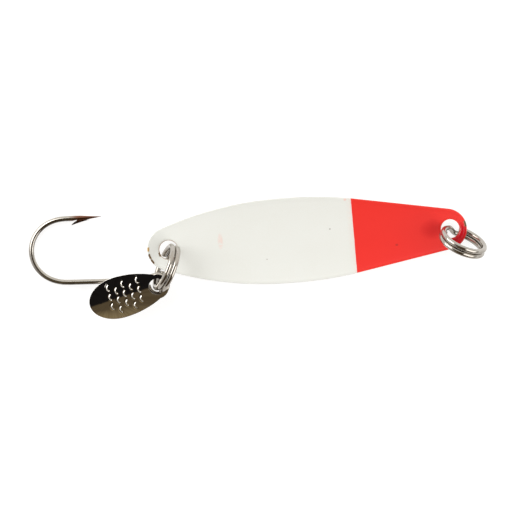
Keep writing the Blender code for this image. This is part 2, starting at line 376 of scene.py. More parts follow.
world = bpy.data.worlds.new("studio")
bpy.context.scene.world = world
world.use_nodes = True
sky = Tree(world.node_tree)
east, north, up = sky.parts(sky.node("ShaderNodeTexCoord", output="Generated"))
corner_east = (east - CORNER[0]) / CORNER_HALF[0]
corner_north = (north - CORNER[1]) / CORNER_HALF[1]
pale_corner = (1.0 - (corner_east * corner_east + corner_north * corner_north)).clamped()
lean = north * LEAN_NORTH + east * LEAN_EAST
olive = sky.mix(pale_corner, OLIVE_OVERHEAD, PALE_OLIVE)
overhead = sky.mix(lean.above(LEAN_EDGE, LEAN_SOFTNESS), olive, BLACK_OVERHEAD)
print("overhead uses", len(sky.tree.nodes), "nodes")

# %% [markdown]
# ## Walls all round
# Further down, soft white walls stand to the north, east and west. Round wire shows all of this at
# once: what is overhead along its middle, the walls beside it, and the table at its edges. To the
# south it is brown, which puts a dark line on the lower side of every wire.

# %% Walls
WHITE_WALL = (0.80, 0.785, 0.76)
NORTH_WALL = (1.05, 1.02, 0.96)
BROWN_SHADE = (0.15, 0.11, 0.075)

level_reach = (east * east + north * north).maths("SQRT")
southward = -north / (level_reach + 0.0001)
is_wall = (north.above(0.37, 0.07) + east.maths("ABSOLUTE").above(0.52, 0.08)).clamped()
wall = sky.mix(north.above(0.30, 0.10), WHITE_WALL, NORTH_WALL)
wall = sky.mix(southward.above(0.55, 0.18), wall, BROWN_SHADE)
low_south = southward.above(0.4, 0.2) * up.above(-0.2, 0.1)
horizon = sky.mix(low_south, WHITE_WALL, BROWN_SHADE)
surroundings = sky.mix(up.above(0.06, 0.05), horizon, sky.mix(is_wall, overhead, wall))
connect(sky.tree, world.node_tree.nodes["Background"].inputs["Color"], surroundings)
print("the surroundings use", len(sky.tree.nodes), "nodes")

# %% [markdown]
# ## Two soft lamps
# Two large square lamps stand on opposite sides of the lure, and light the paint evenly. They are
# low enough for their own reflections to miss the level parts of the sheet.

# %% Lamps
LAMP_DISTANCE = 420.0
LAMP_RISE = math.radians(38.0)
LAMP_POWER = 1.06


def soft_lamp(name, azimuth, size):
    """A square lamp that faces the lure."""
    data = bpy.data.lights.new(name, "AREA")
    data.size = size * MM
    data.energy = LAMP_POWER
    level = math.radians(azimuth)
    towards = Vector((math.cos(level) * math.cos(LAMP_RISE), math.sin(level) * math.cos(LAMP_RISE),
                      math.sin(LAMP_RISE)))
    lamp = bpy.data.objects.new(name, data)
    lamp.location = towards * LAMP_DISTANCE * MM
    lamp.rotation_euler = towards.to_track_quat("Z", "Y").to_euler()
    bpy.context.scene.collection.objects.link(lamp)
    print(f"{name}: {size:.0f} mm square, {LAMP_POWER} W")


soft_lamp("lamp_left", 150.0, 320.0)
soft_lamp("lamp_right", -30.0, 360.0)

# %% [markdown]
# ## Cutting a blank from sheet
# Both blades start as flat blanks, and a blank with a round hole is awkward for a plain grid,
# whose lines would run through the hole. So a blank is laid out the way a careful modeller draws
# it. The middle is a grid that follows the outline. Each end is a fan of lines from the hole's
# edge, or from a small centre where there is no hole, out to the outline. These first helpers say
# where the points go along a line.

# %% Spacing
SEARCH_STEPS = 40
SEARCH_REACH = 12.0              # further than any outline is from its hole


def edge_distance(half_width, centre, angle):
    """How far the outline is from the centre in one direction, by halving."""
    near, far = 0.0, SEARCH_REACH
    for _ in range(SEARCH_STEPS):
        middle = 0.5 * (near + far)
        x = centre[0] + middle * math.cos(angle)
        y = centre[1] + middle * math.sin(angle)
        if abs(y) < half_width(x):
            near = middle
        else:
            far = middle
    return near


def crowded(count):
    """Shares from 0 to 1 that crowd a little at both ends."""
    waves = [math.cos(math.pi * k / count) for k in range(count + 1)]
    return [0.5 - 0.5 * wave * (0.6 + 0.4 * abs(wave)) for wave in waves]


def across_shares(columns, crowd):
    """Places across the blank from -1 to 1, crowded towards the rims if asked."""
    if crowd:
        return [2.0 * share - 1.0 for share in crowded(columns)]
    return [2.0 * k / columns - 1.0 for k in range(columns + 1)]


print("eight crowded steps:", [round(share, 2) for share in crowded(8)])

# %% [markdown]
# ## A fan round a hole
# A fan has the same number of points on the hole's edge and on its outer line, so that it is all
# four-sided faces. The outer line is the last line of the grid and then the outline round the end.
# Every ring between them is a blend of the two.

# %% Fan
def fan_outer(half_width, centre, join_x, shares, outline_steps):
    """The fan's outer line: along the line where it joins the grid, then round the end."""
    side = 1.0 if centre[0] > join_x else -1.0
    width = half_width(join_x)
    outer = [(join_x, side * width * share) for share in shares]
    start = math.atan2(outer[-1][1] - centre[1], outer[-1][0] - centre[0])
    end = math.atan2(outer[0][1] - centre[1], outer[0][0] - centre[0])
    if end >= start:
        end -= 2.0 * math.pi
    for k in range(1, outline_steps):
        angle = start + (end - start) * k / outline_steps
        distance = edge_distance(half_width, centre, angle)
        outer.append((centre[0] + distance * math.cos(angle), centre[1] + distance * math.sin(angle)))
    return outer


def fan_rings(outer, centre, radius, rows):
    """Rings of points from the hole's edge to the outer line."""
    rings = []
    for share in crowded(rows)[:-1]:
        ring = []
        for x, y in outer:
            angle = math.atan2(y - centre[1], x - centre[0])
            full = math.hypot(x - centre[0], y - centre[1])
            distance = radius + (full - radius) * share
            ring.append((centre[0] + distance * math.cos(angle), centre[1] + distance * math.sin(angle)))
        rings.append(ring)
    return rings + [outer]


square = [(1.0, -1.0), (1.0, 1.0), (-1.0, 1.0), (-1.0, -1.0)]
print("rings in a small fan:", len(fan_rings(square, (0.0, 0.0), 0.2, 4)))

# %% [markdown]
# ## Joining grid and fans
# The grid is laid first. Each fan then takes over the points of the grid's end line and adds only
# its own, so the two are one sheet without a seam. An end without a hole is closed by one small
# face in the middle of its fan.

# %% Blank
def add_ring(verts, ring):
    """Adds a ring of points and gives their numbers."""
    first = len(verts)
    verts.extend((x, y, 0.0) for x, y in ring)
    return list(range(first, len(verts)))


def grid_faces(rows):
    return [(near[k], far[k], far[k + 1], near[k + 1])
            for near, far in zip(rows, rows[1:]) for k in range(len(near) - 1)]


def ring_faces(rings):
    size = len(rings[0])
    return [(inner[k], inner[(k + 1) % size], outer[(k + 1) % size], outer[k])
            for inner, outer in zip(rings, rings[1:]) for k in range(size)]


def make_blank(name, half_width, stations, columns, ends, outline_steps, rows, crowd=False):
    """A flat blank. ends holds (centre, radius, is it a hole) for the low and the high end."""
    shares = across_shares(columns, crowd)
    verts = []
    grid = [add_ring(verts, [(x, half_width(x) * share) for share in shares]) for x in stations]
    faces = grid_faces(grid)
    joins = ((stations[0], grid[0][::-1]), (stations[-1], grid[-1]))
    for (join_x, join_row), (centre, radius, is_hole) in zip(joins, ends):
        outer = fan_outer(half_width, centre, join_x, shares, outline_steps)
        *inner_rings, outer = fan_rings(outer, centre, radius, rows)
        numbered = [add_ring(verts, ring) for ring in inner_rings]
        numbered.append(join_row + add_ring(verts, outer[len(join_row):]))
        faces += ring_faces(numbered)
        if not is_hole:
            faces.append(tuple(numbered[0]))
    blank = new_object(name, verts, faces)
    face_up(blank.data)
    print(f"{name}: blank of {len(faces)} faces")
    return blank


print("faces between two short rows:", grid_faces([[0, 1, 2], [3, 4, 5]]))

# %% [markdown]
# ## From blank to sheet
# A blank has no thickness. Two modifiers give it one: the first grows it evenly to both sides,
# and the second rounds the edges, because a cut and tumbled edge is never sharp. It is this small
# round that catches the light all along the outline.

# %% Sheet
EDGE_SEGMENTS = 3


def thicken(sheet, thickness, edge_radius, edge_angle):
    body = sheet.modifiers.new("Sheet", "SOLIDIFY")
    body.thickness = thickness * MM
    body.offset = 0.0
    edges = sheet.modifiers.new("Edges", "BEVEL")
    edges.width = edge_radius * MM
    edges.segments = EDGE_SEGMENTS
    edges.limit_method = "ANGLE"
    edges.angle_limit = math.radians(edge_angle)
    print(f"{sheet.name}: {thickness} mm thick, edges rounded to {edge_radius} mm")


print("edges are rounded in", EDGE_SEGMENTS, "steps")

# %% [markdown]
# ## Geometry Nodes in a few words
# A node tree is worth its trouble where a shape follows a rule. The class below opens a tree,
# names its inputs and later sets them on the modifier. An input is set by its identifier, because
# the name on the screen isn't what the modifier stores. The tree always ends in Realize Instances
# and Set Material, so that a plain mesh with its material comes out.

# %% Recipes
class Recipe(Tree):
    """A Geometry Nodes tree with named inputs."""

    def __init__(self, name, takes_geometry, inputs):
        super().__init__(bpy.data.node_groups.new(name, "GeometryNodeTree"))
        face = self.tree.interface
        if takes_geometry:
            face.new_socket("Geometry", in_out="INPUT", socket_type="NodeSocketGeometry")
        made = face.new_socket("Material", in_out="INPUT", socket_type="NodeSocketMaterial")
        self.identifiers = {"Material": made.identifier}
        for key, value in inputs.items():
            made = face.new_socket(key, in_out="INPUT", socket_type="NodeSocketFloat")
            made.default_value = value
            self.identifiers[key] = made.identifier
        face.new_socket("Geometry", in_out="OUTPUT", socket_type="NodeSocketGeometry")
        self.entry = self.tree.nodes.new("NodeGroupInput")
        self.exit = self.tree.nodes.new("NodeGroupOutput")

    def given(self, name):
        return Socket(self.tree, self.entry.outputs[name])

    def finish(self, geometry):
        real = self.node("GeometryNodeRealizeInstances", Geometry=geometry)
        coated = self.node("GeometryNodeSetMaterial", Geometry=real, Material=self.given("Material"))
        connect(self.tree, self.exit.inputs[0], coated)
        print(f"{self.tree.name}: {len(self.tree.nodes)} nodes")
        return self

    def use(self, obj, **values):
        modifier = obj.modifiers.new(self.tree.name, "NODES")
        modifier.node_group = self.tree
        for key, value in values.items():
            modifier[self.identifiers[key.replace("_", " ")]] = value


print("a recipe adds:", calls(Recipe))

# %% [markdown]
# ## Pressing the blank into a dish
# On the real lure a press bends the flat blank along its length and cups it across. The same is
# done here by one small tree, because the shape follows a rule: every point is lifted by its
# squared distance from a level land in the middle, once along and once across, over twice the
# radius of the bend.

# %% The press
def make_press():
    recipe = Recipe("press", True, {"Bend Radius": 0.1, "Cup Radius": 0.05,
                                    "Level Length": 0.0, "Level Width": 0.0})
    x, y, _ = recipe.parts(recipe.node("GeometryNodeInputPosition"))
    along = (x.maths("ABSOLUTE") - recipe.given("Level Length")).maths("MAXIMUM", 0.0)
    across = (y.maths("ABSOLUTE") - recipe.given("Level Width")).maths("MAXIMUM", 0.0)
    lift = along * along / (2.0 * recipe.given("Bend Radius"))
    lift = lift + across * across / (2.0 * recipe.given("Cup Radius"))
    moved = recipe.node("GeometryNodeSetPosition", Geometry=recipe.given("Geometry"),
                        Offset=recipe.joined(z=lift))
    return recipe.finish(moved)


PRESS = make_press()

# %% [markdown]
# ## The round ends of the blade
# The outline is drawn with a compass and a ruler: a parallel middle, a long arc into the round
# tail, and a shorter arc that turns into a straight taper before the round head. The two end
# circles are worked out so that they meet the flanks without a corner.

# %% End circles
BLADE_LENGTH = 57.2
BLADE_WIDTH = 15.2
TAIL_FLANK_START = -4.2
TAIL_FLANK_RADIUS = 62.0
HEAD_FLANK_START = -2.5
HEAD_FLANK_RADIUS = 66.0
HEAD_TAPER = math.radians(10.2)
HALF_LENGTH = 0.5 * BLADE_LENGTH
HALF_WIDTH = 0.5 * BLADE_WIDTH


def arc_drop(distance, radius):
    return radius - math.sqrt(radius ** 2 - distance ** 2)


def tail_end():
    """The tail circle's radius, and where it begins."""
    reach = HALF_LENGTH + TAIL_FLANK_START
    sunk = TAIL_FLANK_RADIUS - HALF_WIDTH
    radius = (TAIL_FLANK_RADIUS ** 2 - reach ** 2 - sunk ** 2) / (2.0 * (TAIL_FLANK_RADIUS - reach))
    lean = (reach - radius) / (TAIL_FLANK_RADIUS - radius)
    return radius, radius * (1.0 - lean) - HALF_LENGTH


def head_end():
    """Where the taper starts and how wide it is there, the head's radius, and where it begins."""
    taper_start = HEAD_FLANK_START + HEAD_FLANK_RADIUS * math.sin(HEAD_TAPER)
    width = HALF_WIDTH - arc_drop(taper_start - HEAD_FLANK_START, HEAD_FLANK_RADIUS)
    reach = HALF_LENGTH - taper_start
    lean = math.sin(HEAD_TAPER)
    radius = (width * math.cos(HEAD_TAPER) - reach * lean) / (1.0 - lean)
    return taper_start, width, radius, HALF_LENGTH - radius * (1.0 - lean)


print(f"tail radius {tail_end()[0]:.2f} mm, head radius {head_end()[2]:.2f} mm")

# %% [markdown]
# ## The blade's outline
# One function now answers a single question: how wide is half the blade at a given place along
# it? The blank, the search for the outline and the distance to the rim all ask it.

# %% Outline
def half_circle(distance, radius):
    return math.sqrt(max(radius ** 2 - distance ** 2, 0.0))


def blade_half_width(x):
    if abs(x) >= HALF_LENGTH:
        return 0.0
    if x < TAIL_FLANK_START:
        radius, join = tail_end()
        if x < join:
            return half_circle(x + HALF_LENGTH - radius, radius)
        return HALF_WIDTH - arc_drop(x - TAIL_FLANK_START, TAIL_FLANK_RADIUS)
    if x <= HEAD_FLANK_START:
        return HALF_WIDTH
    taper_start, width, radius, join = head_end()
    if x < taper_start:
        return HALF_WIDTH - arc_drop(x - HEAD_FLANK_START, HEAD_FLANK_RADIUS)
    if x > join:
        return half_circle(x - HALF_LENGTH + radius, radius)
    return width - math.tan(HEAD_TAPER) * (x - taper_start)


print("half width at the tail hole:", round(blade_half_width(TAIL_HOLE.x), 2))

# %% [markdown]
# ## Enamel: what all its layers share
# The blade's finish is the heart of this lure. Off-white enamel covers the hollow side, and the
# head is dipped in red. Enamel isn't flat: it has a fine orange-peel skin, it pools near the rim,
# and dust settles in it. These are the facts that every layer needs: the place, the distance to
# the rim, and four sizes of noise. The line between white and red wanders a little.

# %% Enamel ground
PAINT_LINE_X = 8.40              # where the red begins, on the middle line
PAINT_LINE_SLANT = -0.018
PAINT_LINE_WANDER = 0.16
PAINT_LINE_SOFTNESS = 0.05

enamel = Finish("enamel_on_brass", Specular_IOR_Level=0.5)
place = enamel.place()
x, y, _ = enamel.parts(place)
rim = enamel.attribute("rim_distance")
peel = enamel.noise(place, 0.35, detail=2.0)
grain = enamel.noise(place, 0.16, detail=4.0, roughness=0.7)
cloud = enamel.noise(place, 6.0, detail=3.0)
fleck = enamel.noise(place, 0.45, detail=1.0)
wander = (enamel.noise(place, 1.6, detail=2.0) - 0.5) * (PAINT_LINE_WANDER * MM)
past_line = x - PAINT_LINE_X * MM - y * PAINT_LINE_SLANT + wander
is_red = past_line.above(0.0, PAINT_LINE_SOFTNESS * MM)
print("ground:", len(enamel.tree.nodes), "nodes")

# %% [markdown]
# ## The white coat
# The white isn't one tone. It is a little warmer in clouds and in fine mottling. A thin line beside the rim
# is darker: painted shade along the edge.

# %% White coat
WHITE_ENAMEL = (0.776, 0.792, 0.766)
WARM_ENAMEL = (0.750, 0.758, 0.716)
RIM_SHADE_ENAMEL = (0.640, 0.650, 0.600)
RIM_SHADE_DISTANCE = 0.30             # from the rim to the middle of the painted shade line
RIM_SHADE_HALF_WIDTH = 0.16

mottled = ((cloud - 0.35) * 0.9 + (grain - 0.45) * 2.2).clamped()
white = enamel.mix(mottled, WHITE_ENAMEL, WARM_ENAMEL)
# painted shade: a thin darker line just inside the rim
rim_shade = (1.0 - ((rim - RIM_SHADE_DISTANCE) / RIM_SHADE_HALF_WIDTH).maths("ABSOLUTE")).clamped()
white = enamel.mix(rim_shade * 0.22, white, RIM_SHADE_ENAMEL)
print("with the white coat:", len(enamel.tree.nodes), "nodes")

# %% [markdown]
# ## Marks on the white
# A hand-dipped lure is never clean. A little red sprays over the line, a finger left a faint red
# smudge, one red speck dried near the rim, and the ring has worn a brown edge round its hole.
# Each mark is a soft spot with a place and a size, broken up by the noise.

# %% Marks on the white
PALE_RED = (0.88, 0.36, 0.28)
WORN_HOLE_EDGE = (0.40, 0.29, 0.20)

overspray = past_line.above(-0.5 * MM, 0.6 * MM) * fleck.above(0.45, 0.30) * 0.22
smudge = enamel.spot(x, y, (-15.5, 0.75), 0.55, 1.6) * fleck.above(0.42, 0.12) * 0.30
speck = enamel.spot(x, y, (7.26, 6.56), 0.34, 0.26) * 0.5
white = enamel.mix((overspray + smudge + speck).clamped(), white, PALE_RED)
by_tail_hole = (enamel.spot(x, y, TAIL_HOLE.xy, 2.6, 2.6) * 6.0).clamped()
worn_edge = by_tail_hole * (1.0 - rim.above(0.12, 0.06)) * (0.55 + fleck * 0.5)
white = enamel.mix(worn_edge.clamped(), white, WORN_HOLE_EDGE)
print("with its marks:", len(enamel.tree.nodes), "nodes")

# %% [markdown]
# ## The red coat
# The head was dipped a second time. Its red varies at random in tone and is darker towards the nose, a
# painted shade. Two glossy places are darker still: painted shade at the bent nose and a painted shadow of
# the ring beside the head hole. Along the rims the red is lighter, a painted highlight.

# %% Red coat
RED_ENAMEL = (0.818, 0.027, 0.020)
DULL_AND_SHADED_RED = (0.735, 0.020, 0.018)
SHADED_RED = (0.560, 0.004, 0.012)
HIGHLIGHT_RED = (0.900, 0.090, 0.035)
DARK_SPECK = (0.30, 0.02, 0.02)

# painted shade: the red darkens towards the nose, mixed with random dull patches
shade_to_nose = (x - 9.0 * MM) / (18.0 * MM)
dull = (shade_to_nose * 0.25 + (cloud - 0.5) * 0.5 + (grain - 0.5) * 0.8).clamped()
red = enamel.mix(dull, RED_ENAMEL, DULL_AND_SHADED_RED)
# painted shade at the nose and a painted shadow of the ring beside the head hole; the same mask makes the
# red glossier there
nose_shade = enamel.spot(x, y, (27.4, -1.4), 2.1, 2.5) * 1.6
ring_shadow = enamel.spot(x, y, (22.6, 0.1), 2.6, 2.0) * 0.4
shade_and_gloss = (nose_shade + ring_shadow).clamped()
red = enamel.mix(shade_and_gloss, red, SHADED_RED)
# painted highlight: the red is lightened to orange along the rims
red = enamel.mix((1.0 - rim.above(0.12, 0.08)) * 0.30, red, HIGHLIGHT_RED)
red = enamel.mix(enamel.spot(x, y, (15.95, -2.18), 0.32, 0.26) * 0.6, red, DARK_SPECK)
print("with the red coat:", len(enamel.tree.nodes), "nodes")

# %% [markdown]
# ## Dust in both coats
# The two coats are put together along the paint line. Two grains of dust settled in the wet
# enamel, and they lie over both.

# %% Coats together
DUST = (0.22, 0.18, 0.15)

dust = enamel.spot(x, y, (4.2, 1.5), 0.20, 0.16) + enamel.spot(x, y, (-7.4, -3.1), 0.13, 0.12)
coat = enamel.mix(is_red, white, red)
coat = enamel.mix(dust.clamped() * 0.75, coat, DUST)
print("with dust:", len(enamel.tree.nodes), "nodes")

# %% [markdown]
# ## Chips
# Where the rims have knocked against things the enamel has chipped. Both ends took hard knocks,
# listed here by place and size, and the rest of the rim is only rubbed. Ragged noise breaks both
# up, so that no chip has a smooth outline, and none reaches further in than a third of a
# millimetre. `bare` is 1 wherever there is no paint, which is also the whole back.

# %% Chips
KNOCKS = (                       # place along, place across, half length, half width
    (-28.40, 0.15, 0.62, 0.50),
    (-28.25, -1.10, 0.60, 0.62),
    (-27.80, -2.05, 0.55, 0.72),
    (-26.40, -0.75, 0.42, 0.70),
    (28.45, 0.75, 0.62, 0.80),
)
CHIP_REACH = 0.33

ragged = enamel.noise(place, 0.42, detail=5.0, roughness=0.70)
knocked = sum(enamel.spot(x, y, spot[:2], *spot[2:]) for spot in KNOCKS).clamped()
chipped = ((knocked * 1.5 + (ragged - 0.5) * 2.4 - 0.62) * 7.0).clamped()
rubbed = (1.0 - rim.above(0.07, 0.05)) * (ragged - 0.56).clamped() * 6.0
chipped = (chipped * (1.0 - rim.above(CHIP_REACH, 0.05)) + rubbed).clamped()
painted = enamel.attribute("painted_side")
bare = (1.0 - painted * (1.0 - chipped)).clamped()
print("with", len(KNOCKS), "knocks:", len(enamel.tree.nodes), "nodes")

# %% [markdown]
# ## The metal underneath
# Brass shows in the chips, tarnished, and darker in the chips on the lower side and at the head. The back
# has thin nickel plating, dulled by use. Both keep the fine lines of the rolling mill, which run along the
# sheet: noise squeezed along one axis draws them.

# %% Metal
BRASS = (0.80, 0.53, 0.22)
TARNISHED_BRASS = (0.50, 0.28, 0.10)
DARK_CHIP_COLOUR = (0.10, 0.050, 0.022)
PLATING = (0.66, 0.63, 0.57)
DULL_PLATING = (0.43, 0.39, 0.33)

tarnish = enamel.noise(place, 4.5, detail=6.0, roughness=0.62)
rolled = enamel.noise(enamel.joined(x * 0.035, y, y), 0.09, detail=3.0, roughness=0.7)
worn = ((tarnish - 0.42) * 1.3 + (rolled - 0.5) * 0.6).clamped()
# the chips on the lower side and at the head are darker
darker_chip = (1.0 - (y + 0.35 * MM).above(0.0, 0.2 * MM)) + x.above(0.0, 1.0 * MM)
brass = enamel.mix(worn, BRASS, TARNISHED_BRASS)
brass = enamel.mix((chipped * darker_chip).clamped() * 0.85, brass, DARK_CHIP_COLOUR)
metal = enamel.mix(chipped, enamel.mix(worn, PLATING, DULL_PLATING), brass)
print("with the metal:", len(enamel.tree.nodes), "nodes")

# %% [markdown]
# ## Feeding the shader
# The last step decides which layer is seen, how rough it is, and how it stands up. The enamel has
# its orange-peel skin, the red stands a little above the white, and a chip is a small pit.

# %% Enamel on the shader
enamel_rough = 0.34 + grain * 0.10 - shade_and_gloss * 0.16
metal_rough = 0.16 + tarnish * 0.20 + rolled * 0.10
skin = peel * 0.5 + grain * 0.25 + is_red * 0.9
relief = skin * painted + rolled * 0.35 * bare - chipped * 2.5
enamel.feed(
    Base_Color=enamel.mix(bare, coat, metal),
    Metallic=bare * 0.95 - chipped * 0.45,
    Roughness=enamel_rough * (1.0 - bare) + metal_rough * bare,
    Normal=enamel.bump(relief, 0.018, 0.60),
)
print("enamel uses", len(enamel.tree.nodes), "nodes")

# %% [markdown]
# ## The blade's blank
# The blank is laid out with its points crowded towards the rims, where the edge and the paint need
# them. The punch that makes a hole draws the sheet down a little around it, and that is done here
# too, while the sheet is still flat.

# %% Blade blank
BLADE_THICKNESS = 0.6
BLADE_HOLE_RADIUS = 1.68
BLADE_COLUMNS = 40
BLADE_STATIONS = 96
HOLE_JOIN = 5.2                  # how far inside the hole's centre the fan ends
DRAW_DEPTH = 0.035
DRAW_REACH = 0.35
DRAW_LIMIT = 1.2


def evenly(low, high, count):
    return [low + (high - low) * k / count for k in range(count + 1)]


stations = evenly(TAIL_HOLE.x + HOLE_JOIN, HEAD_HOLE.x - HOLE_JOIN, BLADE_STATIONS)
ends = [(hole.xy, BLADE_HOLE_RADIUS, True) for hole in (TAIL_HOLE, HEAD_HOLE)]
blade = make_blank("painted_blade", blade_half_width, stations, BLADE_COLUMNS, ends,
                   outline_steps=120, rows=18, crowd=True)
for vertex in blade.data.vertices:
    for hole in (TAIL_HOLE, HEAD_HOLE):
        from_rim = math.hypot(vertex.co.x / MM - hole.x, vertex.co.y / MM - hole.y) - BLADE_HOLE_RADIUS
        if from_rim < DRAW_LIMIT:
            vertex.co.z -= DRAW_DEPTH * MM * math.exp(-(from_rim / DRAW_REACH) ** 2)
    vertex.co.z += 0.5 * BLADE_THICKNESS * MM
print("blank has", len(blade.data.vertices), "points")

# %% [markdown]
# ## The blade
# The blank is pressed, thickened and given rounded edges, in that order. Thickening after the bend
# keeps the sheet equally thick everywhere.

# %% Blade
BLADE_BEND_RADIUS = 128.0
BLADE_CUP_RADIUS = 58.0
BELLY_HALF_LENGTH = 2.0          # the level land that the lure rests on
BELLY_HALF_WIDTH = 1.6

PRESS.use(blade, Material=enamel.material, Bend_Radius=BLADE_BEND_RADIUS * MM,
          Cup_Radius=BLADE_CUP_RADIUS * MM, Level_Length=BELLY_HALF_LENGTH * MM,
          Level_Width=BELLY_HALF_WIDTH * MM)
thicken(blade, BLADE_THICKNESS, edge_radius=0.13, edge_angle=50.0)
finish_piece(blade, "lure_blade", "blade", enamel.material, sharp_angle=60.0)

# %% [markdown]
# ## How far to the rim
# The paint needs to know how far each point is from the nearest rim. The outline is cut into many
# short steps, and the nearest one wins, unless a hole's rim is nearer. The points of a mesh are
# read all at once as rows of numbers, which is much quicker than one by one.

# %% Distance to the rim
RIM_STEPS = 1400


def mesh_numbers(source, key):
    """One vector per point, as rows of three numbers."""
    flat = np.empty(3 * len(source))
    source.foreach_get(key, flat)
    return flat.reshape(-1, 3)


def rim_distances(points):
    """The distance from each point to the nearest rim, in millimetres, seen from above."""
    outline_x = -HALF_LENGTH * np.cos(np.pi * np.arange(RIM_STEPS + 1) / RIM_STEPS)
    outline_y = np.array([blade_half_width(x) for x in outline_x])
    nearest = np.array([np.hypot(outline_x - x, outline_y - abs(y)).min() for x, y, _ in points])
    for hole in (TAIL_HOLE, HEAD_HOLE):
        from_hole = np.abs(np.hypot(points[:, 0] - hole.x, points[:, 1] - hole.y) - BLADE_HOLE_RADIUS)
        nearest = np.minimum(nearest, from_hole)
    return nearest


places = mesh_numbers(blade.data.vertices, "co") / MM
rim_distance = rim_distances(places)
print(f"furthest from a rim: {rim_distance.max():.2f} mm")

# %% [markdown]
# ## The paint's own edge
# Wet enamel draws back from a sharp rim and stands up in a low bead beside it. The bead is real
# shape, so it catches light. Then the two numbers that the enamel reads are stored on the mesh.

# %% Paint bead
PAINT_BEAD = 0.030
BEAD_DISTANCE = 0.34
BEAD_HALF_WIDTH = 0.15


def store_number(mesh, name, values):
    attribute = mesh.attributes.new(name, "FLOAT", "POINT")
    attribute.data.foreach_set("value", values)
    print(f"{mesh.name}: {name} from {values.min():.2f} to {values.max():.2f}")


upwards = mesh_numbers(blade.data.vertex_normals, "vector")[:, 2]
bead = PAINT_BEAD * np.exp(-((rim_distance - BEAD_DISTANCE) / BEAD_HALF_WIDTH) ** 2)
places[:, 2] += np.clip(2.0 * upwards - 1.0, 0.0, 1.0) * bead
blade.data.vertices.foreach_set("co", (places * MM).ravel())
blade.data.update()
store_number(blade.data, "rim_distance", rim_distance)
store_number(blade.data, "painted_side", np.clip(2.0 * upwards + 1.2, 0.0, 1.0))

# %% [markdown]
# ## Split rings
# A split ring is a spring: nearly two turns of wire lie side by side, and in one short stretch the
# wire steps over from the first coil to the second, with a cut end on each side of the step. That
# is a rule with an angle in it, so a node tree draws it. A line is cut into points, each point is
# given its angle, the angle gives its place on the circle, and close to the step it also moves
# sideways. A round profile then follows the path.

# %% Ring recipe
RING_STEP = math.radians(16.0)   # half the stretch in which the wire steps over
RING_END_GAP = math.radians(5.0)
RING_POINTS = 260
RING_SIDES = 26


def make_ring_recipe():
    recipe = Recipe("split_ring", False, {"Coil Radius": 0.004, "Wire Radius": 0.0005,
                                          "Pitch": 0.001, "Step At": 0.0})
    line = recipe.node("GeometryNodeCurvePrimitiveLine")
    points = recipe.node("GeometryNodeResampleCurve", Curve=line, Count=RING_POINTS)
    share = recipe.node("GeometryNodeSplineParameter")
    sweep = 4.0 * math.pi - 2.0 * (RING_STEP + RING_END_GAP)
    turned = share * sweep + (RING_STEP + RING_END_GAP)
    over = (turned - (2.0 * math.pi - RING_STEP)).maths("DIVIDE", 2.0 * RING_STEP, clamp=True)
    smooth = over * over * (3.0 - 2.0 * over) - 0.5
    angle = turned + recipe.given("Step At")
    radius = recipe.given("Coil Radius")
    place = recipe.joined(radius * angle.maths("COSINE"), radius * angle.maths("SINE"),
                          smooth * recipe.given("Pitch"))
    path = recipe.node("GeometryNodeSetPosition", Geometry=points, Position=place)
    profile = recipe.node("GeometryNodeCurvePrimitiveCircle", Resolution=RING_SIDES,
                          Radius=recipe.given("Wire Radius"))
    return recipe.finish(recipe.node("GeometryNodeCurveToMesh", Curve=path, Profile_Curve=profile,
                                     Fill_Caps=True))


RING_RECIPE = make_ring_recipe()

# %% [markdown]
# ## Plated wire
# Bright nickel over steel wire is almost a mirror. What tells it from a computer's chrome is the wear: pits
# and smears where fingers and line have rubbed, and a little warmth in the colour. The side of the wire
# that faces south is darkened brown, its pits more so: painted shade. The same function finishes the rings
# and the hook, with other colours.

# %% Plated wire
def make_wire_finish(name, bright, dull, shade_colour, smooth, rough, tint=None):
    """Plated wire. tint is (colour, centre, size) of a patch of another colour."""
    finish = Finish(name, Metallic=1.0)
    place = finish.place()
    shaded = finish.attribute("shaded_side")
    smear = finish.noise(place, 1.4, detail=4.0, roughness=0.6)
    pits = finish.noise(place, 0.12, detail=3.0, roughness=0.7)
    colour = finish.mix(((smear - 0.3) * 0.9).clamped(), bright, dull)
    # painted shade: the side of the wire that faces south is darkened brown, its pits more so
    shaded_pits = (pits - 0.62).clamped() * 1.2 * shaded
    painted_shade = (shaded * (0.75 + (smear - 0.5) * 0.9) + shaded_pits).clamped()
    colour = finish.mix(painted_shade, colour, shade_colour)
    if tint is not None:
        tint_colour, centre, size = tint
        x, y, _ = finish.parts(place)
        patch = finish.spot(x, y, centre, *size) * (0.75 + smear * 0.5)
        colour = finish.mix((patch * 1.6).clamped(), colour, tint_colour)
    finish.feed(
        Base_Color=colour,
        Roughness=smooth + (rough - smooth) * smear + painted_shade * 0.06,
        Normal=finish.bump(pits * 0.5 + smear * 0.5, 0.003, 0.15),
    )
    print(f"{name}: {len(finish.tree.nodes)} nodes")
    return finish.material


RING_NICKEL = make_wire_finish("ring_nickel", bright=(0.50, 0.47, 0.43), dull=(0.28, 0.25, 0.21),
                               shade_colour=(0.16, 0.13, 0.10), smooth=0.06, rough=0.16)

# %% [markdown]
# ## The shaded side
# The side that faces south is worked out from the way each point faces, and stored on the mesh as a number.
# So the painted shade stays on the metal when the piece turns.

# %% Shaded side
SHADE_SPREAD = 0.38               # how far the painted shade reaches round the wire
SHADE_SLOPE = 1.15


def mark_shaded_side(obj, strength):
    # stores how far each point faces south, the side that gets painted shade
    northward = mesh_numbers(obj.data.vertex_normals, "vector")[:, 1]
    store_number(obj.data, "shaded_side", strength * np.clip(SHADE_SPREAD - SHADE_SLOPE * northward, 0.0, 1.0))


print("a point that faces south is marked", min(SHADE_SPREAD + SHADE_SLOPE, 1.0))

